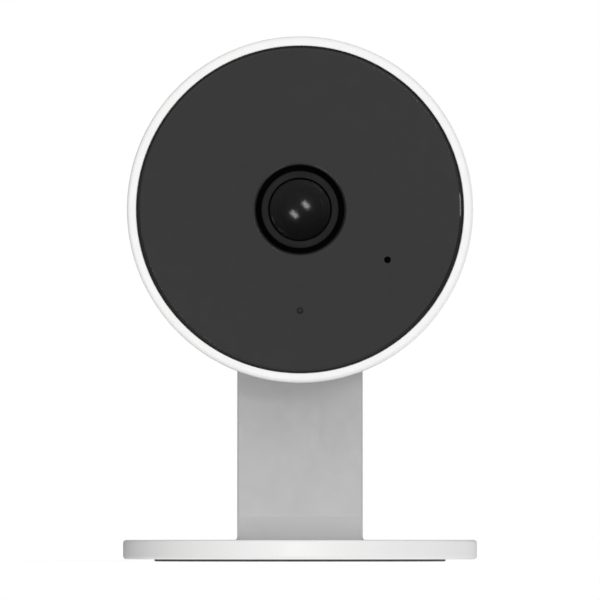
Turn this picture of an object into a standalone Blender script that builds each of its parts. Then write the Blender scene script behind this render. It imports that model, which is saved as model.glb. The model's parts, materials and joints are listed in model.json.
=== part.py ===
"""A small indoor security camera: a round head that tilts on a flat arm, on a round magnetic foot.

Every dimension is in millimetres until make_part scales the mesh to metres. The origin is the centre
of the foot pad's underside, +Z is up and the camera looks along -Y. Inside the head, Y is counted
backwards from the front of the rim, so a piece's depth reads straight from its profile.
"""

from math import acos, cos, degrees, pi, radians, sin, sqrt

import bmesh
import bpy
from mathutils import Matrix, Vector

MM = 0.001
GAP = 0.3

# Foot
BASE_RADIUS = 33.0
BASE_BOTTOM = 0.4
BASE_TOP = 4.0
PAD_RADIUS = 27.15
TURNTABLE_RADIUS = 19.0
FLANGE_RADIUS = 20.1
MAGNET_RADIUS = 2.8
MAGNET_CIRCLE = 23.9
MAGNET_COUNT = 3

# Arm and hinge
ARM_WIDTH = 23.45
ARM_THICKNESS = 2.6
BEND_RADIUS = 4.5
HINGE_Y = 10.0
HINGE_Z = 57.0
BARREL_RADIUS = 3.9
PIN_RADIUS = 1.5
LUG_HALF = 5.0
KNUCKLE_START = 6.2

# Head
HEAD_Z = 65.4
RIM_FRONT_Y = -22.0
HEAD_RADIUS = 32.15
PANEL_RADIUS = 30.35
PANEL_FRONT = 0.45
PANEL_BACK = 2.15
SHELL_LENGTH = 16.7
WALL = 1.95
HEAD_DEPTH = 26.5
REAR_FLAT_RADIUS = 16.0
POST_CIRCLE = 26.2
POST_ANGLES = (90, 210, 330)
BOSS_ANGLES = (60, 120)
BOSS_CIRCLE = 21.5

# Lens
LENS_HOLE_RADIUS = 8.23
BEZEL_RADIUS = 7.22
FRONT_GLASS_RADIUS = 5.84
LENS_THREAD_RADIUS = 6.0

# Infrared-cut filter unit
LEVER_RADIUS = 6.5
LEVER_SWING = 24.0
LEVER_PIVOT_Z = -11.24
FILTER_PITCH = 2 * LEVER_RADIUS * sin(radians(LEVER_SWING))

# Boards, by depth behind the rim
LED_BOARD_FRONT = 4.35
LED_BOARD_BACK = 5.35
MAIN_BOARD_FRONT = 18.9
MAIN_BOARD_BACK = 20.1
LED_CIRCLE = 14.5
LED_ANGLES = (45, 135, 225, 315)
MICROPHONE_AT = (16.25, -9.35)
STATUS_AT = (0.0, -18.8)
MICROPHONE_HOLE_RADIUS = 0.635
STATUS_HOLE_RADIUS = 0.6
HOLDER_SCREWS = ((-12.4, -6.0), (12.4, -6.0))
SPEAKER_AT = (-11.8, 0.0)
USB_Z = 9.0
RESET_AT = (9.5, 9.5)

ROUND = 48
FINE = 24
SMALL = 12
TINY = 8

HEAD = Vector((0.0, RIM_FRONT_Y, HEAD_Z))
HINGE = Vector((0.0, HINGE_Y, HINGE_Z))
ORIGIN = Vector((0.0, 0.0, 0.0))

# Colour, roughness and metallic value of each finish
FINISHES = {
    "white_shell": ((0.86, 0.86, 0.85), 0.42, 0.0),
    "white_stand": ((0.80, 0.80, 0.79), 0.38, 0.0),
    "black_panel": ((0.012, 0.012, 0.013), 0.08, 0.0),
    "black_plastic": ((0.016, 0.016, 0.017), 0.45, 0.0),
    "black_rubber": ((0.02, 0.02, 0.02), 0.8, 0.0),
    "foot_rubber": ((0.07, 0.07, 0.072), 0.75, 0.0),
    "lens_glass": ((0.03, 0.035, 0.05), 0.02, 0.0),
    "filter_red": ((0.35, 0.05, 0.08), 0.05, 0.0),
    "filter_clear": ((0.75, 0.80, 0.82), 0.05, 0.0),
    "bright_steel": ((0.62, 0.62, 0.63), 0.28, 1.0),
    "magnet_nickel": ((0.55, 0.54, 0.52), 0.25, 1.0),
    "copper_winding": ((0.70, 0.32, 0.16), 0.35, 1.0),
    "green_board": ((0.02, 0.12, 0.05), 0.5, 0.0),
    "black_board": ((0.02, 0.022, 0.022), 0.55, 0.0),
    "chip_black": ((0.03, 0.03, 0.032), 0.55, 0.0),
    "sensor_face": ((0.08, 0.10, 0.12), 0.15, 0.0),
    "shield_can": ((0.58, 0.59, 0.58), 0.35, 1.0),
    "led_resin": ((0.20, 0.05, 0.10), 0.15, 0.0),
    "light_pipe": ((0.35, 0.36, 0.36), 0.2, 0.0),
    "speaker_cone": ((0.05, 0.05, 0.05), 0.6, 0.0),
    "nylon": ((0.70, 0.69, 0.64), 0.5, 0.0),
    "amber_film": ((0.45, 0.22, 0.05), 0.35, 0.0),
}


def clear_scene():
    for item in list(bpy.data.objects):
        bpy.data.objects.remove(item, do_unlink=True)


def make_material(name, finish):
    """One Principled material for each object, in the named finish."""
    colour, roughness, metallic = FINISHES[finish]
    made = bpy.data.materials.new(name)
    made.use_nodes = True
    shader = made.node_tree.nodes["Principled BSDF"]
    shader.inputs["Base Color"].default_value = (*colour, 1.0)
    shader.inputs["Roughness"].default_value = roughness
    shader.inputs["Metallic"].default_value = metallic
    made.diffuse_color = (*colour, 1.0)
    return made


def make_pivot(name, place, parent=None):
    """An empty on a joint's axis, which carries the pieces that move there."""
    pivot = bpy.data.objects.new(name, None)
    bpy.context.scene.collection.objects.link(pivot)
    pivot.parent = parent
    pivot["place"] = tuple(place)
    start = Vector(parent["place"]) if parent else ORIGIN
    pivot.location = (place - start) * MM
    return pivot


def make_object(name, shape, place, pivot):
    """Turns a bmesh drawn in millimetres around place into an object that hangs on pivot."""
    bmesh.ops.scale(shape, vec=(MM, MM, MM), verts=shape.verts)
    mesh = bpy.data.meshes.new(name)
    shape.to_mesh(mesh)
    shape.free()
    made = bpy.data.objects.new(name, mesh)
    bpy.context.scene.collection.objects.link(made)
    made.parent = pivot
    made.location = (place - Vector(pivot["place"])) * MM
    return made


def make_part(name, shape, finish, place, pivot):
    made = make_object(name, shape, place, pivot)
    made.data.materials.append(make_material(name, finish))
    made.data.shade_smooth()
    made.data.set_sharp_from_angle(angle=radians(35))
    return made


def combine(part, operation, shape):
    """A Boolean on part. The other solid is a hidden helper, placed as the part is."""
    pivot = part.parent
    place = Vector(pivot["place"]) + part.location / MM
    helper = make_object(f"helper_{part.name}_{len(part.modifiers)}", shape, place, pivot)
    helper.hide_render = True
    helper.display_type = "WIRE"
    change = part.modifiers.new(f"{operation.lower()}_{len(part.modifiers)}", "BOOLEAN")
    change.operation = operation
    change.solver = "EXACT"
    change.object = helper


def cut(part, shape):
    combine(part, "DIFFERENCE", shape)


def fuse(part, shape):
    combine(part, "UNION", shape)


def turned(profile, axis="Y", segments=FINE):
    """Spins a closed outline of (radius, height) points about an axis."""
    point = {
        "X": lambda radius, height: (height, radius, 0.0),
        "Y": lambda radius, height: (radius, height, 0.0),
        "Z": lambda radius, height: (radius, 0.0, height),
    }[axis]
    about = {"X": (1, 0, 0), "Y": (0, 1, 0), "Z": (0, 0, 1)}[axis]
    shape = bmesh.new()
    corners = [shape.verts.new(point(radius, height)) for radius, height in profile]
    edges = []
    for index, corner in enumerate(corners):
        if profile[index - 1][0] > 0 or profile[index][0] > 0:
            edges.append(shape.edges.new((corners[index - 1], corner)))
    bmesh.ops.spin(
        shape, geom=corners + edges, cent=(0, 0, 0), axis=about, angle=2 * pi, steps=segments, use_merge=True
    )
    bmesh.ops.remove_doubles(shape, verts=shape.verts, dist=1e-4)
    bmesh.ops.recalc_face_normals(shape, faces=shape.faces)
    return shape


def disc(radius, low, high, axis="Y", segments=FINE):
    return turned([(0, low), (radius, low), (radius, high), (0, high)], axis, segments)


def ring(inner, outer, low, high, axis="Y", segments=FINE):
    return turned([(inner, low), (outer, low), (outer, high), (inner, high)], axis, segments)


def prism(outline, low, high, axis="Y"):
    """Extrudes a flat outline along an axis. The outline is (x, z), or (y, z) along X, or (x, y) along Z."""
    point = {
        "X": lambda a, b: (low, a, b),
        "Y": lambda a, b: (a, low, b),
        "Z": lambda a, b: (a, b, low),
    }[axis]
    along = {"X": (high - low, 0, 0), "Y": (0, high - low, 0), "Z": (0, 0, high - low)}[axis]
    shape = bmesh.new()
    face = shape.faces.new([shape.verts.new(point(a, b)) for a, b in outline])
    grown = bmesh.ops.extrude_face_region(shape, geom=[face])
    moved = [item for item in grown["geom"] if isinstance(item, bmesh.types.BMVert)]
    bmesh.ops.translate(shape, verts=moved, vec=along)
    bmesh.ops.recalc_face_normals(shape, faces=shape.faces)
    return shape


def slab(x, depth, z):
    """A box between the (low, high) pairs of its three sides."""
    outline = [(x[0], z[0]), (x[1], z[0]), (x[1], z[1]), (x[0], z[1])]
    return prism(outline, depth[0], depth[1])


def rounded(width, height, radius, centre=(0.0, 0.0), steps=3):
    """The outline of a rectangle with round corners, in the X-Z plane."""
    points = []
    corners = ((1, 1, 0), (-1, 1, 90), (-1, -1, 180), (1, -1, 270))
    for side_x, side_z, start in corners:
        for step in range(steps + 1):
            angle = radians(start + 90 * step / steps)
            x = centre[0] + side_x * (width / 2 - radius) + radius * cos(angle)
            z = centre[1] + side_z * (height / 2 - radius) + radius * sin(angle)
            points.append((x, z))
    return points


def moved(shape, x=0.0, y=0.0, z=0.0):
    bmesh.ops.translate(shape, verts=shape.verts, vec=(x, y, z))
    return shape


def joined(shapes):
    """Puts separate solids into one bmesh, for a cutter that works in several places."""
    whole = bmesh.new()
    for shape in shapes:
        mesh = bpy.data.meshes.new("joined")
        shape.to_mesh(mesh)
        shape.free()
        whole.from_mesh(mesh)
        bpy.data.meshes.remove(mesh)
    return whole


def on_circle(radius, degrees):
    return radius * cos(radians(degrees)), radius * sin(radians(degrees))


def on_plane(radius, degrees):
    x, z = on_circle(radius, degrees)
    return x, 0.0, z


def arc(centre, radius, start, end, steps):
    """Points (a, b) along an arc, both ends included."""
    points = []
    for step in range(steps + 1):
        angle = radians(start + (end - start) * step / steps)
        points.append((centre[0] + radius * cos(angle), centre[1] + radius * sin(angle)))
    return points


def dome(start_radius, flat_radius, start, end, steps):
    """A quarter ellipse from a cylinder's edge in to a flat end, as (radius, depth) points."""
    points = []
    for step in range(steps + 1):
        angle = pi / 2 * step / steps
        radius = flat_radius + (start_radius - flat_radius) * cos(angle)
        points.append((radius, start + (end - start) * sin(angle)))
    return points


def lens_face(apex, edge_radius, sag, steps=4):
    """Half of a spherical lens face, from its axis out to its edge, as (radius, depth) points."""
    sphere = (edge_radius**2 + sag**2) / (2 * abs(sag))
    points = []
    for step in range(steps + 1):
        radius = edge_radius * step / steps
        drop = sphere - sqrt(sphere**2 - radius**2)
        points.append((radius, apex + (drop if sag > 0 else -drop)))
    return points


# ---------------------------------------------------------------- foot


def build_foot(foot):
    recess_top = 1.9
    lip = 3.3
    edge = 0.6
    pad_recess = PAD_RADIUS + GAP
    profile = [
        (pad_recess, BASE_BOTTOM),
        (BASE_RADIUS - edge, BASE_BOTTOM),
        (BASE_RADIUS, BASE_BOTTOM + edge),
        (BASE_RADIUS, BASE_TOP - edge),
        (BASE_RADIUS - edge, BASE_TOP),
        (TURNTABLE_RADIUS + GAP, BASE_TOP),
        (TURNTABLE_RADIUS + GAP, lip),
        (FLANGE_RADIUS + GAP, lip),
        (FLANGE_RADIUS + GAP, recess_top),
        (pad_recess, recess_top),
    ]
    base = make_part("base_ring", turned(profile, "Z", ROUND), "white_shell", ORIGIN, foot)
    make_part("foot_pad", disc(PAD_RADIUS, 0.0, 0.6, "Z", ROUND), "foot_rubber", ORIGIN, foot)
    sheet = disc(PAD_RADIUS, 0.9, 1.6, "Z", ROUND)
    plate = make_part("base_bottom_plate", sheet, "bright_steel", ORIGIN, foot)
    friction = ring(15.0, FLANGE_RADIUS - 0.6, 1.9, 2.2, "Z", FINE)
    make_part("swivel_friction_ring", friction, "nylon", ORIGIN, foot)

    pockets = []
    screw_seats = []
    screw = [(0, 0.98), (1.6, 0.98), (1.6, 1.25), (0.7, 1.25), (0.7, 3.0), (0, 3.0)]
    seat = [(0, 0.5), (1.9, 0.5), (1.9, 1.35), (1.0, 1.35), (1.0, 2.0), (0, 2.0)]
    for number in range(MAGNET_COUNT):
        x, y = on_circle(MAGNET_CIRCLE, 90 + 120 * number)
        magnet = disc(MAGNET_RADIUS, 1.9, 3.05, "Z", SMALL)
        make_part(f"base_magnet_{number + 1}", magnet, "magnet_nickel", Vector((x, y, 0)), foot)
        pockets.append(moved(disc(MAGNET_RADIUS + 0.2, 1.0, 3.3, "Z", SMALL), x, y))
        x, y = on_circle(MAGNET_CIRCLE, 30 + 120 * number)
        fixing = turned(screw, "Z", TINY)
        make_part(f"base_screw_{number + 1}", fixing, "bright_steel", Vector((x, y, 0)), foot)
        pockets.append(moved(disc(1.0, 1.0, 3.3, "Z", TINY), x, y))
        screw_seats.append(moved(turned(seat, "Z", TINY), x, y))
    cut(base, joined(pockets))
    cut(plate, joined(screw_seats))


# ---------------------------------------------------------------- arm and hinge


def build_arm(arm):
    back = HINGE_Y + BARREL_RADIUS
    front = back - ARM_THICKNESS
    half = ARM_WIDTH / 2
    turntable = [
        (0, 2.5),
        (FLANGE_RADIUS, 2.5),
        (FLANGE_RADIUS, 3.0),
        (TURNTABLE_RADIUS, 3.0),
        (TURNTABLE_RADIUS, BASE_TOP),
        (0, BASE_TOP),
    ]
    stand = make_part("stand_arm", turned(turntable, "Z", ROUND), "white_stand", ORIGIN, arm)
    bend = arc((front - BEND_RADIUS, BASE_TOP + BEND_RADIUS), BEND_RADIUS, 0, -90, 6)
    roll_end = degrees(acos((front - HINGE_Y) / BARREL_RADIUS))
    roll = arc((HINGE_Y, HINGE_Z), BARREL_RADIUS, 0, 360 - roll_end, 22)
    flare = [(back + 0.45, 3.2), (back + 0.45, 4.05), (back, 4.6)]
    fuse(stand, prism([*flare, *roll, *bend, (front - BEND_RADIUS, 3.2)], -half, half, "X"))
    notch_low = HINGE_Z - BARREL_RADIUS - 0.5
    notch_front = HINGE_Y - BARREL_RADIUS - 2
    notch_top = HINGE_Z + BARREL_RADIUS + 2
    notch = [(notch_front, notch_low), (back + 2, notch_low), (back + 2, notch_top), (notch_front, notch_top)]
    cut(stand, prism(notch, -KNUCKLE_START, KNUCKLE_START, "X"))
    cut(stand, moved(disc(PIN_RADIUS + 0.1, -half - 1, half + 1, "X", SMALL), 0, HINGE_Y, HINGE_Z))
    cap_radius = 2.9
    cap_start = half - 1.3
    seats = [disc(cap_radius + 0.2, side * cap_start, side * (half + 1), "X", SMALL) for side in (-1, 1)]
    cut(stand, joined([moved(seat, 0, HINGE_Y, HINGE_Z) for seat in seats]))

    pin = disc(PIN_RADIUS, -cap_start + 0.2, cap_start - 0.2, "X", SMALL)
    make_part("hinge_pin", pin, "bright_steel", HINGE, arm)
    cap_profile = [
        (0, cap_start + 0.2),
        (cap_radius, cap_start + 0.2),
        (cap_radius, half - 0.35),
        (cap_radius - 0.3, half - 0.05),
        (0, half - 0.05),
    ]
    for side, name in ((-1, "left"), (1, "right")):
        cap = turned([(radius, side * x) for radius, x in cap_profile], "X", SMALL)
        make_part(f"hinge_cap_{name}", cap, "white_stand", HINGE, arm)
        washer_ends = (side * (LUG_HALF + GAP), side * (KNUCKLE_START - GAP))
        washer = ring(PIN_RADIUS + 0.2, BARREL_RADIUS - 0.3, *washer_ends, "X", SMALL)
        make_part(f"hinge_washer_{name}", washer, "nylon", HINGE, arm)


# ---------------------------------------------------------------- head shells


def build_shell(head):
    bulkhead_front = PANEL_BACK + GAP
    bulkhead_back = 4.05
    recess = PANEL_RADIUS + GAP
    profile = [
        (recess, 0.2),
        (recess + 0.2, 0.0),
        (HEAD_RADIUS - 0.65, 0.0),
        (HEAD_RADIUS - 0.2, 0.2),
        (HEAD_RADIUS, 0.65),
        (HEAD_RADIUS, SHELL_LENGTH),
        (HEAD_RADIUS - WALL, SHELL_LENGTH),
        (HEAD_RADIUS - WALL, bulkhead_back),
        (21.5, bulkhead_back),
        (21.5, bulkhead_front),
        (recess, bulkhead_front),
    ]
    shell = make_part("housing_shell", turned(profile, "Y", ROUND), "white_shell", HEAD, head)
    seats = []
    seat = [(0, 1.0), (2.2, 1.0), (2.2, 3.45), (1.1, 3.45), (1.1, 6.0), (0, 6.0)]
    screw = [(0, 2.6), (1.9, 2.6), (1.9, 3.2), (0.8, 3.2), (0.8, 13.5), (0, 13.5)]
    for number, angle in enumerate(POST_ANGLES):
        place = Vector(on_plane(POST_CIRCLE, angle))
        seats.append(moved(turned(seat, segments=SMALL), *place))
        fixing = turned(screw, segments=TINY)
        make_part(f"housing_screw_{number + 1}", fixing, "bright_steel", HEAD + place, head)
    cut(shell, joined(seats))


def build_rear_cover(head):
    lip_inner = 28.6
    inner_start = SHELL_LENGTH + 0.9
    outer = dome(HEAD_RADIUS, REAR_FLAT_RADIUS, SHELL_LENGTH + GAP, HEAD_DEPTH, 6)
    inner = dome(lip_inner, REAR_FLAT_RADIUS - 0.5, inner_start, HEAD_DEPTH - 1.8, 3)
    lip_outer = HEAD_RADIUS - WALL - GAP
    lip = [(lip_inner, 15.4), (lip_outer, 15.4), (lip_outer, SHELL_LENGTH + GAP)]
    profile = [*lip, *outer, (0, HEAD_DEPTH), (0, HEAD_DEPTH - 1.8), *reversed(inner)]
    cover = make_part("rear_cover", turned(profile, "Y", ROUND), "white_shell", HEAD, head)

    hinge_depth = HINGE_Y - RIM_FRONT_Y
    hinge_height = HINGE_Z - HEAD_Z
    neck_height = (hinge_height - BARREL_RADIUS, hinge_height + BARREL_RADIUS)
    fuse(cover, slab((-LUG_HALF, LUG_HALF), (25.6, hinge_depth), neck_height))
    fuse(cover, moved(disc(BARREL_RADIUS, -LUG_HALF, LUG_HALF, "X", FINE), 0, hinge_depth, hinge_height))
    posts = []
    bores = []
    for angle in POST_ANGLES:
        place = on_plane(POST_CIRCLE, angle)
        posts.append(moved(disc(2.6, LED_BOARD_FRONT, 22.6, segments=SMALL), *place))
        bores.append(moved(disc(1.1, 3.0, 14.0, segments=TINY), *place))
    for angle in BOSS_ANGLES:
        place = on_plane(BOSS_CIRCLE, angle)
        posts.append(moved(disc(2.0, MAIN_BOARD_BACK + GAP, 24.4, segments=SMALL), *place))
        bores.append(moved(disc(1.1, 19.0, 23.4, segments=TINY), *place))
    fuse(cover, joined(posts))
    cut(cover, joined(bores))
    bore = disc(PIN_RADIUS + 0.3, -LUG_HALF - 1, LUG_HALF + 1, "X", SMALL)
    cut(cover, moved(bore, 0, hinge_depth, hinge_height))

    grille = [(0.0, 0.0)]
    for count, radius in ((6, 2.1), (12, 4.2)):
        grille += [on_circle(radius, 360 * step / count) for step in range(count)]
    openings = [
        moved(disc(0.55, 22.0, 28.0, "Y", 6), SPEAKER_AT[0] + x, 0, SPEAKER_AT[1] + z) for x, z in grille
    ]
    openings.append(moved(disc(1.8, 22.0, 28.0, "Y", SMALL), RESET_AT[0], 0, RESET_AT[1]))
    openings.append(prism(rounded(9.5, 3.8, 1.8, (0, USB_Z)), 22.0, 28.0))
    openings.append(slab((25.2, 34.0), (20.2, 22.1), (-6.2, 6.2)))
    cut(cover, joined(openings))
    cut(cover, prism(rounded(12.2, 6.4, 2.6, (0, USB_Z)), HEAD_DEPTH - 0.7, 28.0))


def build_panel(head):
    edge = 0.5
    chamfer = 0.4
    profile = [
        (LENS_HOLE_RADIUS + chamfer, PANEL_FRONT),
        (PANEL_RADIUS - edge, PANEL_FRONT),
        (PANEL_RADIUS, PANEL_FRONT + edge),
        (PANEL_RADIUS, PANEL_BACK),
        (LENS_HOLE_RADIUS, PANEL_BACK),
        (LENS_HOLE_RADIUS, PANEL_FRONT + chamfer),
    ]
    panel = make_part("face_panel", turned(profile, "Y", ROUND), "black_panel", HEAD, head)
    holes = [
        moved(disc(MICROPHONE_HOLE_RADIUS, -1, 4, "Y", TINY), MICROPHONE_AT[0], 0, MICROPHONE_AT[1]),
        moved(disc(STATUS_HOLE_RADIUS, -1, 4, "Y", TINY), STATUS_AT[0], 0, STATUS_AT[1]),
    ]
    cut(panel, joined(holes))


# ---------------------------------------------------------------- optics


def build_lens(head):
    make_part("lens_hood", ring(8.3, 9.2, 2.45, 7.2), "black_rubber", HEAD, head)
    seat = FRONT_GLASS_RADIUS + GAP
    barrel = [
        (seat, 1.0),
        (BEZEL_RADIUS - 0.22, 1.0),
        (BEZEL_RADIUS, 1.22),
        (BEZEL_RADIUS, 3.2),
        (LENS_THREAD_RADIUS, 3.2),
        (LENS_THREAD_RADIUS, 12.4),
        (4.4, 12.4),
        (4.4, 8.9),
        (3.4, 8.9),
        (3.4, 7.7),
        (4.4, 7.7),
        (4.4, 4.0),
        (seat, 4.0),
    ]
    make_part("lens_barrel", turned(barrel), "black_plastic", HEAD, head)
    front = [*lens_face(1.25, FRONT_GLASS_RADIUS, 0.6), *reversed(lens_face(2.4, 4.2, 1.2, 3))]
    front.insert(5, (FRONT_GLASS_RADIUS, 3.6))
    make_part("front_lens", turned(front), "lens_glass", HEAD, head)
    middle = [*lens_face(4.6, 4.1, 0.7), *reversed(lens_face(7.3, 4.1, -0.8))]
    make_part("middle_lens", turned(middle, segments=20), "lens_glass", HEAD, head)
    rear = [*lens_face(9.2, 4.1, 0.4), *reversed(lens_face(10.95, 4.1, -0.6))]
    make_part("rear_lens", turned(rear, segments=20), "lens_glass", HEAD, head)
    make_part("lens_retainer", ring(2.9, 4.1, 11.3, 12.2, segments=20), "black_plastic", HEAD, head)


def build_lens_holder(head):
    plate_front = 12.7
    plate_back = 13.4
    base = slab((-10.1, 10.1), (plate_front, plate_back), (-18.1, 5.6))
    holder = make_part("lens_holder", base, "black_plastic", HEAD, head)
    tube_inner = LENS_THREAD_RADIUS + GAP
    fuse(holder, slab((-14.4, 14.4), (plate_front + 0.1, plate_back - 0.1), (-8.0, -4.0)))
    fuse(holder, disc(tube_inner + 1.3, 7.5, 13.0))
    cut(holder, disc(tube_inner, 6.0, plate_front))
    cut(holder, disc(4.6, 12.0, 14.0, segments=20))
    legs = []
    bores = []
    screw = [(0, 11.9), (1.5, 11.9), (1.5, 12.5), (0.7, 12.5), (0.7, MAIN_BOARD_BACK), (0, MAIN_BOARD_BACK)]
    for number, (x, z) in enumerate(HOLDER_SCREWS):
        legs.append(moved(disc(2.0, plate_front, MAIN_BOARD_FRONT - GAP, segments=SMALL), x, 0, z))
        bores.append(moved(disc(1.0, 10.0, 20.0, segments=TINY), x, 0, z))
        place = HEAD + Vector((x, 0, z))
        body = turned(screw, segments=TINY)
        make_part(f"lens_holder_screw_{number + 1}", body, "bright_steel", place, head)
    fuse(holder, joined(legs))
    cut(holder, joined(bores))


def build_filter_unit(head, slide, turn):
    """The tray, the slider with its two filters, and the magnet lever that shifts it."""
    tray = slab((-10.1, 10.1), (13.7, MAIN_BOARD_FRONT - GAP), (-18.1, 5.2))
    frame = make_part("ir_cut_frame", tray, "black_plastic", HEAD, head)
    cut(frame, slab((-8.95, 8.95), (13.0, 16.4), (-16.9, 4.0)))
    cut(frame, slab((-4.6, 4.6), (17.2, 20.0), (-4.1, 4.1)))
    cut(frame, slab((-3.5, 3.5), (15.0, 19.0), (-2.7, 2.7)))
    fuse(frame, moved(disc(0.6, 14.4, 16.6, segments=TINY), 0, 0, LEVER_PIVOT_Z))

    half_winding = [(0.95, 3.6), (1.2, 3.6), (1.2, 4.2), (0, 4.2)]
    other_half = [(radius, -x) for radius, x in reversed(half_winding)]
    coil = turned([*other_half, *half_winding], "X", SMALL)
    make_part("ir_cut_coil", coil, "copper_winding", HEAD + Vector((0, 14.9, -15.1)), head)

    shift = Vector((-FILTER_PITCH / 2, 0, 0))
    outline = [
        (-6.0, -3.7),
        (-1.9, -3.7),
        (-1.9, -6.4),
        (-0.8, -6.4),
        (-0.8, -3.95),
        (0.8, -3.95),
        (0.8, -6.4),
        (1.9, -6.4),
        (1.9, -3.7),
        (6.0, -3.7),
        (6.0, 3.7),
        (-6.0, 3.7),
    ]
    slider = make_part("ir_cut_slider", prism(outline, 14.3, 15.1), "black_plastic", HEAD + shift, slide)
    half_pitch = FILTER_PITCH / 2
    windows = [moved(slab((-2.35, 2.35), (14.0, 16.0), (-2.7, 2.7)), side * half_pitch) for side in (-1, 1)]
    cut(slider, joined(windows))
    for side, name, finish in ((-1, "clear_filter", "filter_clear"), (1, "ir_cut_filter", "filter_red")):
        glass = slab((-2.1, 2.1), (14.5, 14.9), (-2.45, 2.45))
        place = HEAD + shift + Vector((side * half_pitch, 0, 0))
        make_part(name, glass, finish, place, slide)

    place = HEAD + Vector((0, 0, LEVER_PIVOT_Z))
    lever = make_part("ir_cut_lever", disc(1.8, 14.7, 16.1, segments=SMALL), "black_plastic", place, turn)
    lean = Matrix.Rotation(radians(-LEVER_SWING), 3, "Y")
    beam = slab((-0.7, 0.7), (15.4, 16.05), (0.0, LEVER_RADIUS + 0.2))
    pin = moved(disc(0.5, 14.2, 15.8, segments=TINY), 0, 0, LEVER_RADIUS)
    for shape in (beam, pin):
        bmesh.ops.rotate(shape, cent=(0, 0, 0), matrix=lean, verts=shape.verts)
        fuse(lever, shape)
    cut(lever, disc(0.9, 13.0, 18.0, segments=TINY))


# ---------------------------------------------------------------- electronics


def build_front_board(head):
    board = ring(9.5, 23.2, LED_BOARD_FRONT, LED_BOARD_BACK, segments=36)
    make_part("ir_led_board", board, "black_board", HEAD, head)
    top = LED_BOARD_FRONT - GAP
    led = [(0, 2.75), (0.9, 2.87), (1.35, 3.15), (1.6, 3.5), (1.6, top), (0, top)]
    for number, angle in enumerate(LED_ANGLES):
        x, z = on_circle(LED_CIRCLE, angle)
        place = HEAD + Vector((x, 0, z))
        make_part(f"ir_led_{number + 1}", turned(led, segments=SMALL), "led_resin", place, head)
    spot = HEAD + Vector((MICROPHONE_AT[0], 0, MICROPHONE_AT[1]))
    make_part("microphone", slab((-1.5, 1.5), (3.35, top), (-1.2, 1.2)), "shield_can", spot, head)
    make_part("microphone_boot", ring(0.75, 1.7, 2.45, 3.05, segments=SMALL), "black_rubber", spot, head)
    spot = HEAD + Vector((STATUS_AT[0], 0, STATUS_AT[1]))
    make_part("status_led", slab((-0.8, 0.8), (3.45, top), (-0.6, 0.6)), "nylon", spot, head)
    pipe = [(0, 0.6), (0.48, 0.6), (0.48, 2.45), (1.5, 2.45), (1.5, 3.15), (0, 3.15)]
    make_part("status_light_pipe", turned(pipe, segments=TINY), "light_pipe", spot, head)
    ribbon = slab((16.8, 17.1), (LED_BOARD_BACK + GAP, MAIN_BOARD_FRONT - GAP), (9.0, 15.0))
    make_part("board_ribbon", ribbon, "amber_film", HEAD, head)


def build_main_board(head):
    sheet = disc(26.0, MAIN_BOARD_FRONT, MAIN_BOARD_BACK, segments=36)
    board = make_part("main_board", sheet, "green_board", HEAD, head)
    openings = []
    for angle in POST_ANGLES:
        openings.append(moved(disc(2.95, 18, 21, segments=SMALL), *on_plane(POST_CIRCLE, angle)))
    for angle in BOSS_ANGLES:
        openings.append(moved(disc(1.1, 18, 21, segments=TINY), *on_plane(BOSS_CIRCLE, angle)))
    openings += [moved(disc(1.0, 18, 21, segments=TINY), x, 0, z) for x, z in HOLDER_SCREWS]
    cut(board, joined(openings))
    top = MAIN_BOARD_FRONT - GAP
    screw = [(0, 17.9), (1.7, 17.9), (1.7, top), (0.8, top), (0.8, 22.9), (0, 22.9)]
    for number, angle in enumerate(BOSS_ANGLES):
        place = HEAD + Vector(on_plane(BOSS_CIRCLE, angle))
        make_part(f"main_board_screw_{number + 1}", turned(screw, segments=TINY), "bright_steel", place, head)
    make_part("image_sensor", slab((-4.0, 4.0), (17.5, top), (-3.5, 3.5)), "sensor_face", HEAD, head)
    make_part("processor", slab((-23.2, -15.2), (17.4, top), (-9.0, -1.0)), "chip_black", HEAD, head)
    make_part("wireless_module", slab((-20.5, -11.5), (17.0, top), (4.0, 13.0)), "shield_can", HEAD, head)
    make_part("antenna", slab((-27.8, -27.4), (6.0, 14.5), (-4.0, 8.0)), "amber_film", HEAD, head)


def build_rear_electronics(head):
    behind = MAIN_BOARD_BACK + GAP
    cone = [
        (0, 20.6),
        (5.5, 20.6),
        (5.5, 21.4),
        (7.5, 21.4),
        (7.5, 23.2),
        (6.6, 23.2),
        (6.2, 22.7),
        (2.6, 22.3),
        (1.8, 22.7),
        (0, 22.9),
    ]
    spot = HEAD + Vector((SPEAKER_AT[0], 0, SPEAKER_AT[1]))
    make_part("speaker", turned(cone, segments=24), "speaker_cone", spot, head)
    make_part("speaker_gasket", ring(6.0, 7.2, 23.5, 24.1, segments=24), "black_rubber", spot, head)

    port = HEAD + Vector((0, 0, USB_Z))
    can = prism(rounded(8.9, 3.2, 1.5), behind, 26.1)
    socket = make_part("usb_socket", can, "bright_steel", port, head)
    cut(socket, prism(rounded(8.3, 2.6, 1.2), 21.4, 27.0))
    fuse(socket, slab((-3.3, 3.3), (21.0, 25.4), (-0.35, 0.35)))
    tray = slab((11.0, 24.0), (behind, 21.9), (-6.5, 6.5))
    card = make_part("memory_card_socket", tray, "bright_steel", HEAD, head)
    cut(card, slab((13.0, 26.0), (20.8, 21.5), (-5.6, 5.6)))
    spot = HEAD + Vector((RESET_AT[0], 0, RESET_AT[1]))
    body = slab((-2.0, 2.0), (behind, 22.0), (-2.0, 2.0))
    switch = make_part("reset_switch", body, "chip_black", spot, head)
    fuse(switch, disc(1.1, 21.5, 22.2, segments=TINY))


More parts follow.
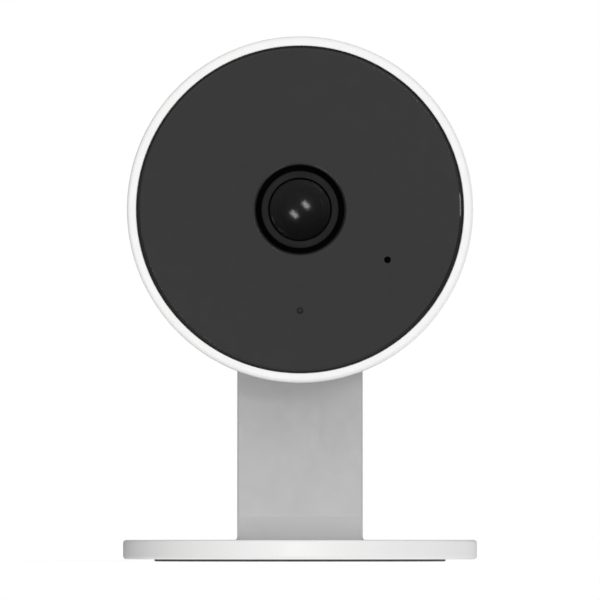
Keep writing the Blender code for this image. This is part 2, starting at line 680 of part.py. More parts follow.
def build_reset_button(button):
    stem = [(0, 22.7), (1.0, 22.7), (1.0, 23.4)]
    profile = [*stem, (2.4, 23.4), (2.4, 24.3), (1.5, 24.3), (1.5, 26.2), (1.2, 26.4), (0, 26.4)]
    place = HEAD + Vector((RESET_AT[0], 0, RESET_AT[1]))
    make_part("reset_button", turned(profile, segments=SMALL), "white_shell", place, button)


def main():
    clear_scene()
    foot = make_pivot("foot_frame", ORIGIN)
    arm = make_pivot("swivel_axis", ORIGIN, foot)
    head = make_pivot("tilt_axis", HINGE, arm)
    slide = make_pivot("filter_slide", HEAD, head)
    turn = make_pivot("lever_axis", HEAD + Vector((0, 0, LEVER_PIVOT_Z)), head)
    button = make_pivot("button_axis", HEAD + Vector((RESET_AT[0], 0, RESET_AT[1])), head)
    build_foot(foot)
    build_arm(arm)
    build_shell(head)
    build_rear_cover(head)
    build_panel(head)
    build_lens(head)
    build_lens_holder(head)
    build_filter_unit(head, slide, turn)
    build_front_board(head)
    build_main_board(head)
    build_rear_electronics(head)
    build_reset_button(button)
    bpy.context.view_layer.update()


main()
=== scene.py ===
"""The looks of a small indoor security camera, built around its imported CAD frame.

Lengths are in millimetres until a mesh is placed. The head's pieces are turned about the Y axis through
its centre, and their depth is counted backwards from the front of the rim. The foot's are turned about Z.
"""

import json
from math import cos, pi, radians, sin, sqrt, tan

import bmesh
import bpy
from mathutils import Matrix, Vector

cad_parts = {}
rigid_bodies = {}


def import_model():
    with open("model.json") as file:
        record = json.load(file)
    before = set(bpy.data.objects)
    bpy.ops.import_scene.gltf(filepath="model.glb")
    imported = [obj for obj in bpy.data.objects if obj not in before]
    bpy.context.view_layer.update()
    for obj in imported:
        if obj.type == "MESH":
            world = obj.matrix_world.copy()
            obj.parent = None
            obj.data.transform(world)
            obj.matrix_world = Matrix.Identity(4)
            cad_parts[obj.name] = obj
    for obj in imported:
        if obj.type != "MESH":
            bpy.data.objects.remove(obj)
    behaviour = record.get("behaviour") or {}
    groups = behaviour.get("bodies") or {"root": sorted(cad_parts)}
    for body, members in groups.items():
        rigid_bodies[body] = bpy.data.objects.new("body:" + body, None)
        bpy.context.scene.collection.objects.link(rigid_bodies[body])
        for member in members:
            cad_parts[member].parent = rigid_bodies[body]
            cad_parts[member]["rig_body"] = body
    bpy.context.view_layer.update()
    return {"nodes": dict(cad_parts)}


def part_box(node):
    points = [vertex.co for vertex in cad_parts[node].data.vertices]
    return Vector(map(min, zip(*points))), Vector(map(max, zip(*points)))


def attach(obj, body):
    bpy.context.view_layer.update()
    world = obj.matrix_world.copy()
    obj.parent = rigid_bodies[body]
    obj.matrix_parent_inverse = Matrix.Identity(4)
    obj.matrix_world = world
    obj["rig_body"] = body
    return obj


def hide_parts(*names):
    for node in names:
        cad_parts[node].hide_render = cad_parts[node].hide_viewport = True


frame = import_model()

MM = 0.001
ROUND = 192
FINE = 96
SMALL = 48
CORNER_STEPS = 6


def box_mm(node):
    """A CAD node's lowest and highest corners in millimetres."""
    low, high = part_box(node)
    return low / MM, high / MM


# Driving dimensions, read from the frame
SHELL_LOW, SHELL_HIGH = box_mm("housing_shell")
PANEL_LOW, PANEL_HIGH = box_mm("face_panel")
BASE_LOW, BASE_HIGH = box_mm("base_ring")
PIN_LOW, PIN_HIGH = box_mm("hinge_pin")
CAP_HIGH = box_mm("hinge_cap_right")[1]

HEAD = Vector((0.0, SHELL_LOW.y, (SHELL_LOW.z + SHELL_HIGH.z) / 2))
HINGE = (PIN_LOW + PIN_HIGH) / 2
ORIGIN = Vector((0.0, 0.0, 0.0))
HEAD_RADIUS = (SHELL_HIGH.x - SHELL_LOW.x) / 2
SHELL_LENGTH = SHELL_HIGH.y - SHELL_LOW.y
PANEL_RADIUS = (PANEL_HIGH.x - PANEL_LOW.x) / 2
PANEL_FRONT = PANEL_LOW.y - HEAD.y
PANEL_BACK = PANEL_HIGH.y - HEAD.y
BASE_RADIUS = (BASE_HIGH.x - BASE_LOW.x) / 2
BASE_BOTTOM = BASE_LOW.z
BASE_TOP = BASE_HIGH.z
ARM_HALF = CAP_HIGH.x + 0.05

GAP = 0.3
WALL = 1.95
HEAD_DEPTH = 26.5
REAR_FLAT_RADIUS = 16.0
BARREL_RADIUS = 3.9
ARM_THICKNESS = 2.6
BEND_RADIUS = 4.5
BEND_CREASE = 0.1
FLARE = 0.45
FLARE_HEIGHT = 0.75
PIN_RADIUS = 1.5
LUG_HALF = 5.0
KNUCKLE_START = 6.2
CAP_RADIUS = 2.9
PAD_RADIUS = 27.15
TURNTABLE_RADIUS = 19.0
FLANGE_RADIUS = 20.1
LENS_HOLE_RADIUS = 8.23
BEZEL_RADIUS = 7.22
FRONT_GLASS_RADIUS = 5.84
POST_CIRCLE = 26.2
POST_ANGLES = (90, 210, 330)
BOSS_CIRCLE = 21.5
BOSS_ANGLES = (60, 120)
MAGNET_CIRCLE = 23.9
MICROPHONE_AT = (16.25, -9.35)
STATUS_AT = (0.0, -18.8)
SPEAKER_AT = (-11.8, 0.0)
RESET_AT = (9.5, 9.5)
USB_Z = 9.0


# ---------------------------------------------------------------- materials


def add_node(tree, kind, **values):
    made = tree.nodes.new(kind)
    for name, value in values.items():
        setattr(made, name, value)
    return made


def noise(tree, grain_mm, detail=3.0, stretch=(1.0, 1.0, 1.0)):
    """A noise whose grain has a real size, in the piece's own coordinates."""
    place = add_node(tree, "ShaderNodeTexCoord")
    scale = add_node(tree, "ShaderNodeMapping")
    scale.inputs["Scale"].default_value = stretch
    made = add_node(tree, "ShaderNodeTexNoise")
    made.inputs["Scale"].default_value = 1 / (grain_mm * MM)
    made.inputs["Detail"].default_value = detail
    tree.links.new(place.outputs["Object"], scale.inputs["Vector"])
    tree.links.new(scale.outputs["Vector"], made.inputs["Vector"])
    return made.outputs["Fac"]


def spread(tree, value, low, high):
    """Maps the middle of a noise onto the range low to high."""
    made = add_node(tree, "ShaderNodeMapRange")
    made.inputs["From Min"].default_value = 0.3
    made.inputs["From Max"].default_value = 0.7
    made.inputs["To Min"].default_value = low
    made.inputs["To Max"].default_value = high
    tree.links.new(value, made.inputs["Value"])
    return made.outputs["Result"]


def mixed(tree, value, first, second):
    made = add_node(tree, "ShaderNodeMix", data_type="RGBA")
    made.inputs["A"].default_value = (*first, 1.0)
    made.inputs["B"].default_value = (*second, 1.0)
    tree.links.new(value, made.inputs["Factor"])
    return made.outputs["Result"]


def surface(
    name,
    colour,
    roughness,
    metallic=0.0,
    tone=0.03,
    tone_mm=9.0,
    gloss=0.04,
    grain_mm=0.15,
    depth_mm=0.003,
    stretch=(1.0, 1.0, 1.0),
    **sockets,
):
    """A Principled material with slight colour and gloss variation and a fine moulded or machined grain."""
    made = bpy.data.materials.new(name)
    made.use_nodes = True
    tree = made.node_tree
    shader = tree.nodes["Principled BSDF"]
    shader.inputs["Metallic"].default_value = metallic
    for socket, value in sockets.items():
        shader.inputs[socket.replace("_", " ")].default_value = value
    darker = [channel * (1 - tone) for channel in colour]
    lighter = [min(1.0, channel * (1 + tone)) for channel in colour]
    patches = spread(tree, noise(tree, tone_mm), 0.0, 1.0)
    tree.links.new(mixed(tree, patches, darker, lighter), shader.inputs["Base Color"])
    polish = spread(tree, noise(tree, 2.5), roughness - gloss, roughness + gloss)
    tree.links.new(polish, shader.inputs["Roughness"])
    if not depth_mm:
        return made
    bump = add_node(tree, "ShaderNodeBump")
    bump.inputs["Strength"].default_value = 1.0
    bump.inputs["Distance"].default_value = depth_mm * MM
    tree.links.new(noise(tree, grain_mm, 2.0, stretch), bump.inputs["Height"])
    tree.links.new(bump.outputs["Normal"], shader.inputs["Normal"])
    return made


def circuit_board(name, mask, trace):
    """Solder mask with the faint squares and lines of the copper below it."""
    made = surface(name, mask, 0.4, tone=0.05, depth_mm=0.004, grain_mm=0.3)
    tree = made.node_tree
    shader = tree.nodes["Principled BSDF"]
    place = add_node(tree, "ShaderNodeTexCoord")
    lines = add_node(tree, "ShaderNodeTexBrick")
    lines.inputs["Scale"].default_value = 1 / (3.0 * MM)
    lines.inputs["Mortar Size"].default_value = 0.03
    lines.inputs["Color1"].default_value = (*mask, 1.0)
    lines.inputs["Color2"].default_value = (*[channel * 0.8 for channel in mask], 1.0)
    lines.inputs["Mortar"].default_value = (*trace, 1.0)
    turn = add_node(tree, "ShaderNodeMapping")
    turn.inputs["Rotation"].default_value = (radians(90), 0.0, 0.0)
    tree.links.new(place.outputs["Object"], turn.inputs["Vector"])
    tree.links.new(turn.outputs["Vector"], lines.inputs["Vector"])
    tree.links.new(lines.outputs["Color"], shader.inputs["Base Color"])
    return made


def build_finishes():
    """One material for each of the record's slots."""
    return {
        "white_shell": surface("moulded_white", (0.90, 0.90, 0.895), 0.34, tone=0.008, depth_mm=0.0015),
        # The stand's grey of 0.58 is darker than the shell's white to match the stand's tone under the
        # head: partly the stand's own grey, partly painted shade from the head above.
        "white_stand": surface("stand_grey_with_painted_shade", (0.58, 0.58, 0.58), 0.36, tone=0.008, depth_mm=0.0015),
        "black_panel": surface(
            "polished_black", (0.012, 0.012, 0.013), 0.05, tone=0.05, gloss=0.01, depth_mm=0.00005,
            grain_mm=1.2, Specular_IOR_Level=0.36,
        ),
        "black_plastic": surface(
            "moulded_black", (0.007, 0.007, 0.007), 0.42, tone=0.1, depth_mm=0.002, Specular_IOR_Level=0.1
        ),
        "black_rubber": surface(
            "soft_black_rubber", (0.004, 0.004, 0.004), 0.8, tone=0.1, depth_mm=0.006,
            Specular_IOR_Level=0.08,
        ),
        "foot_rubber": surface(
            "foot_rubber", (0.07, 0.07, 0.072), 0.75, tone=0.12, tone_mm=3, depth_mm=0.012
        ),
        "lens_glass": surface(
            "coated_glass", (0.045, 0.046, 0.048), 0.1, tone=0.02, gloss=0.01, depth_mm=0.0,
            Transmission_Weight=1.0, IOR=1.5, Specular_Tint=(0.25, 0.25, 0.25, 1.0),
        ),
        "filter_red": surface(
            "infrared_cut_glass", (0.8, 0.12, 0.18), 0.03, tone=0.02, gloss=0.01,
            Transmission_Weight=0.8, IOR=1.5,
        ),
        "filter_clear": surface(
            "clear_glass", (0.9, 0.95, 0.96), 0.03, tone=0.02, gloss=0.01,
            Transmission_Weight=0.9, IOR=1.5,
        ),
        "bright_steel": surface(
            "bright_steel", (0.62, 0.62, 0.63), 0.28, 1.0, gloss=0.08, grain_mm=0.12, depth_mm=0.002,
            stretch=(1.0, 0.15, 1.0),
        ),
        "magnet_nickel": surface("magnet_nickel", (0.55, 0.54, 0.52), 0.25, 1.0, gloss=0.08),
        "copper_winding": surface(
            "enamelled_copper", (0.70, 0.32, 0.16), 0.35, 1.0, tone=0.15, grain_mm=0.1, depth_mm=0.03,
            stretch=(8.0, 0.4, 0.4),
        ),
        "green_board": circuit_board("green_solder_mask", (0.02, 0.12, 0.05), (0.04, 0.22, 0.09)),
        "black_board": circuit_board("black_solder_mask", (0.02, 0.022, 0.022), (0.035, 0.037, 0.037)),
        "chip_black": surface("chip_package", (0.03, 0.03, 0.032), 0.55, tone=0.1, depth_mm=0.004),
        "sensor_face": surface(
            "sensor_window", (0.06, 0.08, 0.11), 0.1, tone=0.2, gloss=0.03, Coat_Weight=1.0
        ),
        "shield_can": surface("tinned_can", (0.58, 0.59, 0.58), 0.35, 1.0, tone=0.06, gloss=0.1),
        "led_resin": surface("dark_resin", (0.20, 0.05, 0.10), 0.12, tone=0.1, gloss=0.03, Coat_Weight=0.6),
        "light_pipe": surface(
            "smoked_light_pipe", (0.012, 0.012, 0.012), 0.3, tone=0.1, Specular_IOR_Level=0.09
        ),
        "speaker_cone": surface(
            "paper_cone", (0.05, 0.05, 0.05), 0.65, tone=0.15, tone_mm=1.0, depth_mm=0.02
        ),
        "nylon": surface("natural_nylon", (0.70, 0.69, 0.64), 0.5, tone=0.04),
        "amber_film": surface("amber_film", (0.45, 0.22, 0.05), 0.3, tone=0.1, Coat_Weight=0.5),
    }


FINISHES = build_finishes()


# ---------------------------------------------------------------- mesh tools


def rounded_outline(corners):
    """An outline of (a, b) points from corners of (a, b) or (a, b, radius), each radius made an arc."""
    points = []
    for index, corner in enumerate(corners):
        here = Vector(corner[:2])
        radius = corner[2] if len(corner) > 2 else 0.0
        if not radius:
            points.append(tuple(here))
            continue
        back = (Vector(corners[index - 1][:2]) - here).normalized()
        ahead = (Vector(corners[(index + 1) % len(corners)][:2]) - here).normalized()
        half = back.angle(ahead) / 2
        centre = here + (back + ahead).normalized() * (radius / sin(half))
        start = here + back * (radius / tan(half)) - centre
        sweep = start.angle_signed(here + ahead * (radius / tan(half)) - centre)
        for step in range(CORNER_STEPS + 1):
            points.append(tuple(centre + Matrix.Rotation(-sweep * step / CORNER_STEPS, 2) @ start))
    return points


def turned(outline, axis="Y", segments=ROUND):
    """Turns a closed outline of (radius, height) points about an axis into one closed surface."""
    place = {
        "X": lambda radius, height, angle: (height, radius * cos(angle), radius * sin(angle)),
        "Y": lambda radius, height, angle: (radius * cos(angle), height, radius * sin(angle)),
        "Z": lambda radius, height, angle: (radius * cos(angle), radius * sin(angle), height),
    }[axis]
    shape = bmesh.new()
    rings = []
    for radius, height in rounded_outline(outline):
        if radius < 1e-6:
            rings.append([shape.verts.new(place(0, height, 0))] * segments)
        else:
            angles = [2 * pi * step / segments for step in range(segments)]
            rings.append([shape.verts.new(place(radius, height, angle)) for angle in angles])
    for index, ring in enumerate(rings):
        before = rings[index - 1]
        if ring[0] is ring[1] and before[0] is before[1]:
            continue
        for step in range(segments):
            follow = (step + 1) % segments
            corners = [before[step], before[follow], ring[follow], ring[step]]
            shape.faces.new(list(dict.fromkeys(corners)))
    bmesh.ops.recalc_face_normals(shape, faces=shape.faces)
    return shape


def disc(radius, low, high, axis="Y", segments=SMALL, edge=0.0):
    return turned([(0, low), (radius, low, edge), (radius, high, edge), (0, high)], axis, segments)


def ring(inner, outer, low, high, axis="Y", segments=FINE, edge=0.05):
    corners = [(inner, low, edge), (outer, low, edge), (outer, high, edge), (inner, high, edge)]
    return turned(corners, axis, segments)


def loft(outlines):
    """A closed solid through rings of points that all have the same count."""
    shape = bmesh.new()
    rings = [[shape.verts.new(point) for point in outline] for outline in outlines]
    for low, high in zip(rings, rings[1:]):
        for index in range(len(low)):
            follow = (index + 1) % len(low)
            shape.faces.new([low[index], low[follow], high[follow], high[index]])
    shape.faces.new(list(reversed(rings[0])))
    shape.faces.new(rings[-1])
    bmesh.ops.recalc_face_normals(shape, faces=shape.faces)
    return shape


def rounded_rectangle(width, height, radius, centre=(0.0, 0.0), steps=8):
    """Points (a, b) round a rectangle with round corners."""
    points = []
    for side_a, side_b, start in ((1, 1, 0), (-1, 1, 90), (-1, -1, 180), (1, -1, 270)):
        for step in range(steps + 1):
            angle = radians(start + 90 * step / steps)
            a = centre[0] + side_a * (width / 2 - radius) + radius * cos(angle)
            b = centre[1] + side_b * (height / 2 - radius) + radius * sin(angle)
            points.append((a, b))
    return points


def block(x, y, z, edge=0.15):
    """A box between (low, high) pairs, with round edges along Y and small chamfers at its two ends."""
    centre = ((x[0] + x[1]) / 2, (z[0] + z[1]) / 2)
    width = x[1] - x[0]
    height = z[1] - z[0]
    chamfer = edge / 2
    outlines = []
    for depth, inset in ((y[0], chamfer), (y[0] + chamfer, 0), (y[1] - chamfer, 0), (y[1], chamfer)):
        flat = rounded_rectangle(width - 2 * inset, height - 2 * inset, edge, centre, 4)
        outlines.append([(a, depth, b) for a, b in flat])
    return loft(outlines)


def moved(shape, x=0.0, y=0.0, z=0.0):
    bmesh.ops.translate(shape, verts=shape.verts, vec=(x, y, z))
    return shape


def joined(shapes):
    whole = bmesh.new()
    for shape in shapes:
        mesh = bpy.data.meshes.new("joined")
        shape.to_mesh(mesh)
        shape.free()
        whole.from_mesh(mesh)
        bpy.data.meshes.remove(mesh)
    return whole


def on_circle(radius, degrees):
    return radius * cos(radians(degrees)), radius * sin(radians(degrees))


def on_plane(radius, degrees):
    x, z = on_circle(radius, degrees)
    return x, 0.0, z


def dome(start_radius, flat_radius, start, end, steps):
    """A quarter ellipse from a cylinder's edge in to a flat end, as (radius, depth) points."""
    points = []
    for step in range(steps + 1):
        angle = pi / 2 * step / steps
        radius = flat_radius + (start_radius - flat_radius) * cos(angle)
        points.append((radius, start + (end - start) * sin(angle)))
    return points


def lens_face(apex, edge_radius, sag, steps=16):
    """Half of a spherical lens face, from its axis out to its edge, as (radius, depth) points."""
    sphere = (edge_radius**2 + sag**2) / (2 * abs(sag))
    points = []
    for step in range(steps + 1):
        radius = edge_radius * step / steps
        drop = sphere - sqrt(sphere**2 - radius**2)
        points.append((radius, apex + (drop if sag > 0 else -drop)))
    return points


def new_object(name, shape, place):
    bmesh.ops.translate(shape, verts=shape.verts, vec=place)
    bmesh.ops.scale(shape, vec=(MM, MM, MM), verts=shape.verts)
    mesh = bpy.data.meshes.new(name)
    shape.to_mesh(mesh)
    shape.free()
    made = bpy.data.objects.new(name, mesh)
    bpy.context.scene.collection.objects.link(made)
    return made


def piece(name, shape, place, slot, node, changes=()):
    """A detailed piece that stands for a CAD node. Changes are (operation, shape) pairs, made in order."""
    made = new_object(name, shape, place)
    tools = []
    for operation, tool in changes:
        helper = new_object(f"{name}_tool", tool, place)
        change = made.modifiers.new(operation, "BOOLEAN")
        change.operation = operation
        change.solver = "EXACT"
        change.object = helper
        tools.append(helper)
    if tools:
        graph = bpy.context.evaluated_depsgraph_get()
        whole = bpy.data.meshes.new_from_object(made.evaluated_get(graph))
        made.modifiers.clear()
        made.data = whole
        for helper in tools:
            bpy.data.objects.remove(helper, do_unlink=True)
    made.data.materials.clear()
    made.data.materials.append(FINISHES[slot])
    made.data.shade_smooth()
    made.data.set_sharp_from_angle(angle=radians(32))
    weigh = made.modifiers.new("even_normals", "WEIGHTED_NORMAL")
    weigh.keep_sharp = True
    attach(made, frame["nodes"][node]["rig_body"])
    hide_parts(node)
    return made


# ---------------------------------------------------------------- foot


def build_foot():
    recess_top = 1.9
    lip = 3.3
    pad_recess = PAD_RADIUS + GAP
    outline = [
        (pad_recess, BASE_BOTTOM, 0.1),
        (BASE_RADIUS, BASE_BOTTOM, 0.6),
        (BASE_RADIUS, BASE_TOP, 0.6),
        (TURNTABLE_RADIUS + GAP, BASE_TOP, 0.15),
        (TURNTABLE_RADIUS + GAP, lip),
        (FLANGE_RADIUS + GAP, lip),
        (FLANGE_RADIUS + GAP, recess_top),
        (pad_recess, recess_top),
    ]
    pocket_low = 1.0
    magnet_hole = 3.0
    screw_hole = 1.0
    pockets = []
    for number in range(3):
        x, y = on_circle(MAGNET_CIRCLE, 90 + 120 * number)
        pockets.append(moved(disc(magnet_hole, pocket_low, lip, "Z"), x, y))
        x, y = on_circle(MAGNET_CIRCLE, 30 + 120 * number)
        pockets.append(moved(disc(screw_hole, pocket_low, lip, "Z"), x, y))
    change = [("DIFFERENCE", joined(pockets))]
    piece("foot_ring", turned(outline, "Z"), ORIGIN, "white_shell", "base_ring", change)

    groove_depth = 0.22
    pad = [(0, 0.0)]
    for radius in (8.0, 13.0, 18.0, 23.0):
        pad += [(radius - 0.5, 0.0, 0.08), (radius - 0.3, groove_depth, 0.08)]
        pad += [(radius + 0.3, groove_depth, 0.08), (radius + 0.5, 0.0, 0.08)]
    pad += [(PAD_RADIUS, 0.0, 0.2), (PAD_RADIUS, 0.6, 0.05), (0, 0.6)]
    piece("grip_pad", turned(pad, "Z"), ORIGIN, "foot_rubber", "foot_pad")


# ---------------------------------------------------------------- arm and hinge


def arm_section(height):
    """The arm's outline at a height: it bends forward into the turntable and flares where it meets it."""
    back = HINGE.y + BARREL_RADIUS
    front = back - ARM_THICKNESS
    bend_height = BASE_TOP + BEND_RADIUS
    if height < bend_height:
        front += sqrt(max(0.0, BEND_RADIUS**2 - (bend_height - height) ** 2)) - BEND_RADIUS
        front -= BEND_CREASE * (bend_height - height)
    climb = min(1.0, max(0.0, (height - BASE_TOP) / FLARE_HEIGHT))
    flare = FLARE * (1 - sqrt(1 - (1 - climb) ** 2))
    width = 2 * (ARM_HALF + flare)
    depth = back + flare - front
    flat = rounded_rectangle(width, depth, 0.35, (0.0, front + depth / 2), 5)
    return [(x, y, height) for x, y in flat]


def build_arm():
    table = [
        (0, 2.5),
        (FLANGE_RADIUS, 2.5, 0.1),
        (FLANGE_RADIUS, 3.0, 0.1),
        (TURNTABLE_RADIUS, 3.0),
        (TURNTABLE_RADIUS, BASE_TOP, 0.15),
        (0, BASE_TOP),
    ]
    notch_low = HINGE.z - BARREL_RADIUS - 0.5
    low_heights = [BASE_TOP - 0.5, BASE_TOP]
    low_heights += [BASE_TOP + FLARE_HEIGHT * (1 - cos(pi / 2 * step / 8)) for step in range(1, 9)]
    bend_heights = [BASE_TOP + BEND_RADIUS * (1 - cos(pi / 2 * step / 32)) for step in range(1, 33)]
    heights = sorted(set(low_heights + bend_heights)) + [HINGE.z]
    strip = loft([arm_section(height) for height in heights])
    notch_depth = (HINGE.y - BARREL_RADIUS - 2, HINGE.y + BARREL_RADIUS + 2)
    notch_height = (notch_low, HINGE.z + BARREL_RADIUS + 2)
    notch = block((-KNUCKLE_START, KNUCKLE_START), notch_depth, notch_height, 0.5)
    knuckles = []
    for side in (-1, 1):
        ends = sorted((side * KNUCKLE_START, side * ARM_HALF))
        roll = disc(BARREL_RADIUS, *ends, "X", FINE, edge=0.35)
        knuckles.append(moved(roll, 0, HINGE.y, HINGE.z))
    cap_start = ARM_HALF - 1.3
    bore = moved(disc(PIN_RADIUS + 0.1, -ARM_HALF - 1, ARM_HALF + 1, "X"), 0, HINGE.y, HINGE.z)
    seats = []
    for side in (-1, 1):
        ends = sorted((side * cap_start, side * (ARM_HALF + 1)))
        seats.append(moved(disc(CAP_RADIUS + 0.2, *ends, "X"), 0, HINGE.y, HINGE.z))
    changes = [
        ("UNION", turned(table, "Z")),
        ("UNION", joined(knuckles)),
        ("DIFFERENCE", notch),
        ("DIFFERENCE", bore),
        ("DIFFERENCE", joined(seats)),
    ]
    piece("stand", strip, ORIGIN, "white_stand", "stand_arm", changes)

    pin = disc(PIN_RADIUS, -cap_start + 0.2, cap_start - 0.2, "X", SMALL, edge=0.25)
    piece("tilt_pin", pin, HINGE, "bright_steel", "hinge_pin")
    for side, name in ((-1, "left"), (1, "right")):
        cap = turned(
            [
                (0, cap_start + 0.2),
                (CAP_RADIUS, cap_start + 0.2),
                (CAP_RADIUS, ARM_HALF - 0.05, 0.3),
                (1.2, ARM_HALF - 0.05, 0.1),
                (0.9, ARM_HALF - 0.2, 0.1),
                (0, ARM_HALF - 0.2),
            ],
            "X",
            SMALL,
        )
        if side < 0:
            bmesh.ops.rotate(cap, cent=(0, 0, 0), matrix=Matrix.Rotation(pi, 3, "Z"), verts=cap.verts)
        piece(f"pin_cap_{name}", cap, HINGE, "white_stand", f"hinge_cap_{name}")
        ends = sorted((side * (LUG_HALF + GAP), side * (KNUCKLE_START - GAP)))
        washer = ring(PIN_RADIUS + 0.2, BARREL_RADIUS - 0.3, *ends, "X", SMALL, edge=0.1)
        piece(f"friction_washer_{name}", washer, HINGE, "nylon", f"hinge_washer_{name}")


# ---------------------------------------------------------------- head


def build_front_shell():
    bulkhead_front = PANEL_BACK + GAP
    bulkhead_back = 4.05
    lip_depth = 1.2
    recess = PANEL_RADIUS + GAP
    outline = [
        (recess, lip_depth),
        (PANEL_RADIUS + 0.1, lip_depth),
        (PANEL_RADIUS + 0.1, 0.0, 0.2),
        (HEAD_RADIUS, 0.0, 0.6),
        (HEAD_RADIUS, SHELL_LENGTH, 0.12),
        (HEAD_RADIUS - WALL, SHELL_LENGTH),
        (HEAD_RADIUS - WALL, bulkhead_back),
        (21.5, bulkhead_back, 0.2),
        (21.5, bulkhead_front, 0.2),
        (recess, bulkhead_front),
    ]
    seat = [(0, 1.0), (2.2, 1.0), (2.2, 3.45), (1.1, 3.45), (1.1, 6.0), (0, 6.0)]
    seats = [moved(turned(seat, segments=SMALL), *on_plane(POST_CIRCLE, angle)) for angle in POST_ANGLES]
    change = [("DIFFERENCE", joined(seats))]
    piece("front_shell", turned(outline), HEAD, "white_shell", "housing_shell", change)


def build_rear_shell():
    lip_inner = 28.6
    outer = dome(HEAD_RADIUS, REAR_FLAT_RADIUS, SHELL_LENGTH + GAP, HEAD_DEPTH, 32)
    inner = dome(lip_inner, REAR_FLAT_RADIUS - 0.5, SHELL_LENGTH + 0.9, HEAD_DEPTH - 1.8, 12)
    lip_outer = HEAD_RADIUS - WALL - GAP
    lip = [(lip_inner, 15.4, 0.2), (lip_outer, 15.4, 0.2), (lip_outer, SHELL_LENGTH + GAP)]
    outline = [*lip, *outer, (0, HEAD_DEPTH), (0, HEAD_DEPTH - 1.8), *reversed(inner)]
    depth = HINGE.y - HEAD.y
    height = HINGE.z - HEAD.z
    neck = []
    for y, grow in ((25.6, 0.5), (26.5, 0.5), (26.62, 0.28), (26.8, 0.13), (27.1, 0.0), (depth, 0.0)):
        size = (2 * (LUG_HALF + grow), 2 * (BARREL_RADIUS + grow))
        flat = rounded_rectangle(*size, 0.4 + grow, (0.0, height), 6)
        neck.append([(x, y, z) for x, z in flat])
    barrel = moved(disc(BARREL_RADIUS, -LUG_HALF, LUG_HALF, "X", FINE, edge=0.4), 0, depth, height)
    bore = moved(disc(PIN_RADIUS + 0.3, -LUG_HALF - 1, LUG_HALF + 1, "X"), 0, depth, height)
    posts = []
    bores = []
    for angle in POST_ANGLES:
        posts.append(moved(disc(2.6, 4.35, 22.6), *on_plane(POST_CIRCLE, angle)))
        bores.append(moved(disc(1.1, 3.0, 14.0), *on_plane(POST_CIRCLE, angle)))
    for angle in BOSS_ANGLES:
        posts.append(moved(disc(2.0, 20.4, 24.4), *on_plane(BOSS_CIRCLE, angle)))
        bores.append(moved(disc(1.1, 19.0, 23.4), *on_plane(BOSS_CIRCLE, angle)))
    rims = []
    openings = []
    grille = [(0.0, 0.0)]
    for count, radius in ((6, 2.1), (12, 4.2)):
        grille += [on_circle(radius, 360 * step / count) for step in range(count)]
    spots = [(SPEAKER_AT[0] + x, SPEAKER_AT[1] + z, 0.55) for x, z in grille]
    spots.append((*RESET_AT, 1.8))
    for x, z, radius in spots:
        openings.append(moved(disc(radius, 22.0, 28.0, segments=32), x, 0, z))
        low = HEAD_DEPTH - 0.12
        countersink = [(0, low), (radius - 0.05, low), (radius + 0.2, 28.0), (0, 28.0)]
        rims.append(moved(turned(countersink, segments=32), x, 0, z))
    port = rounded_rectangle(9.5, 3.8, 1.8, (0, USB_Z))
    openings.append(loft([[(x, y, z) for x, z in port] for y in (22.0, 28.0)]))
    openings.append(block((25.2, 34.0), (20.2, 22.1), (-6.2, 6.2)))
    recess = []
    steps = ((HEAD_DEPTH - 0.7, 0.0), (HEAD_DEPTH - 0.2, 0.0), (HEAD_DEPTH + 0.2, 0.35), (28.0, 0.35))
    for y, grow in steps:
        flat = rounded_rectangle(12.2 + 2 * grow, 6.4 + 2 * grow, 2.6 + grow, (0, USB_Z))
        recess.append([(x, y, z) for x, z in flat])
    changes = [
        ("UNION", loft(neck)),
        ("UNION", barrel),
        ("UNION", joined(posts)),
        ("DIFFERENCE", joined(bores)),
        ("DIFFERENCE", bore),
        ("DIFFERENCE", joined(openings)),
        ("DIFFERENCE", joined(rims)),
        ("DIFFERENCE", loft(recess)),
    ]
    piece("rear_shell", turned(outline), HEAD, "white_shell", "rear_cover", changes)


def build_panel():
    chamfer = 0.42
    outline = [
        (LENS_HOLE_RADIUS, PANEL_FRONT + chamfer, 0.06),
        (LENS_HOLE_RADIUS + chamfer, PANEL_FRONT, 0.06),
        (PANEL_RADIUS - 0.65, PANEL_FRONT, 0.06),
        (PANEL_RADIUS - 0.12, PANEL_FRONT + 0.22, 0.06),
        (PANEL_RADIUS, PANEL_FRONT + 0.5, 0.06),
        (PANEL_RADIUS, PANEL_BACK, 0.1),
        (LENS_HOLE_RADIUS, PANEL_BACK, 0.1),
    ]
    holes = [
        moved(disc(0.635, -1, 4), MICROPHONE_AT[0], 0, MICROPHONE_AT[1]),
        moved(disc(0.6, -1, 4), STATUS_AT[0], 0, STATUS_AT[1]),
    ]
    change = [("DIFFERENCE", joined(holes))]
    piece("front_window", turned(outline, segments=256), HEAD, "black_panel", "face_panel", change)
    spot = HEAD + Vector((STATUS_AT[0], 0, STATUS_AT[1]))
    pipe = [(0, 0.52), (0.56, 0.54, 0.06), (0.56, 2.45), (1.5, 2.45, 0.1), (1.5, 3.15, 0.1), (0, 3.15)]
    piece("status_window", turned(pipe, segments=SMALL), spot, "light_pipe", "status_light_pipe")
    spot = HEAD + Vector((MICROPHONE_AT[0], 0, MICROPHONE_AT[1]))
    boot = [(0, 2.75), (0.75, 2.75), (0.75, 2.45), (1.7, 2.45, 0.12), (1.7, 3.05, 0.12), (0, 3.05)]
    piece("microphone_seal", turned(boot, segments=SMALL), spot, "black_rubber", "microphone_boot")


# ---------------------------------------------------------------- optics


